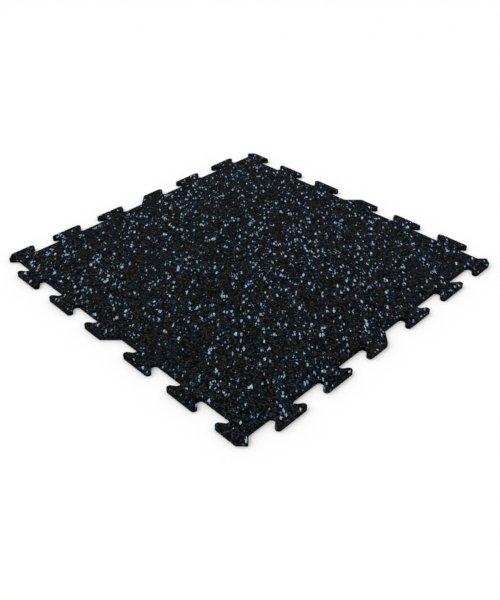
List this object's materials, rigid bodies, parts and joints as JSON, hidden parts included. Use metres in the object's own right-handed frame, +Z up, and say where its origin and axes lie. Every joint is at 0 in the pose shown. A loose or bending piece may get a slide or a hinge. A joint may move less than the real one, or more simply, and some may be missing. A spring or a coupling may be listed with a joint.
{
  "type": "interlocking rubber tile",
  "caption": "Square tile of speckled crumb rubber with hooked tabs and sockets along every side, which lock it to the next tile.",
  "frame": {"origin": "centre of the underside, which is also the centre of the 609.6 mm square that one laid tile covers", "axes": "+Z up through the thickness to the wear face; X and Y square to the sides, so the next tile lies 609.6 mm away along X or Y, unturned"},
  "size_m": [0.6338, 0.6338, 0.008],
  "materials": {
    "crumb_rubber": "matt black crumb rubber with light blue flecks all through it"
  },
  "bodies": {
    "root": {"rubber_tile": "crumb_rubber"}
  },
  "joints": []
}
